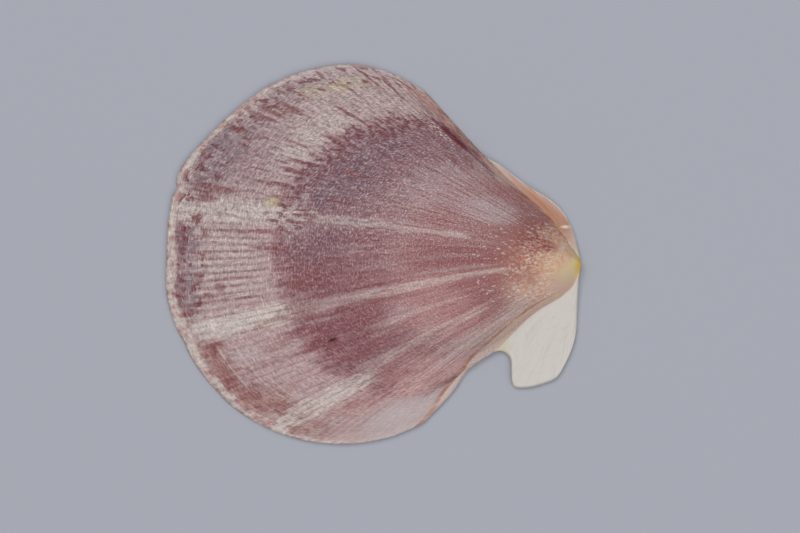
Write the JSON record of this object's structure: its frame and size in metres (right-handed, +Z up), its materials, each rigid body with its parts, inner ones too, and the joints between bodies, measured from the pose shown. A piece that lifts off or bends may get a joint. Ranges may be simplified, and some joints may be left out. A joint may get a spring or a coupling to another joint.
{
  "type": "fan shell valve",
  "caption": "One valve of a fan shell: a thin arched fan of fine radial ribs with a small ear and a notched big ear, mottled maroon and cream outside, smooth and pale inside.",
  "frame": {"origin": "middle of the footprint, on the plane that the rim rests on", "axes": "+Z up out of the arched outside, +X from the margin to the beak, +Y towards the small ear"},
  "size_m": [0.0416, 0.038, 0.0061],
  "materials": {
    "shell": "satin calcium carbonate, maroon, mauve and cream in rays and growth bands, cream ears, glossy pale inside"
  },
  "bodies": {
    "root": {"valve": "shell"}
  },
  "joints": []
}
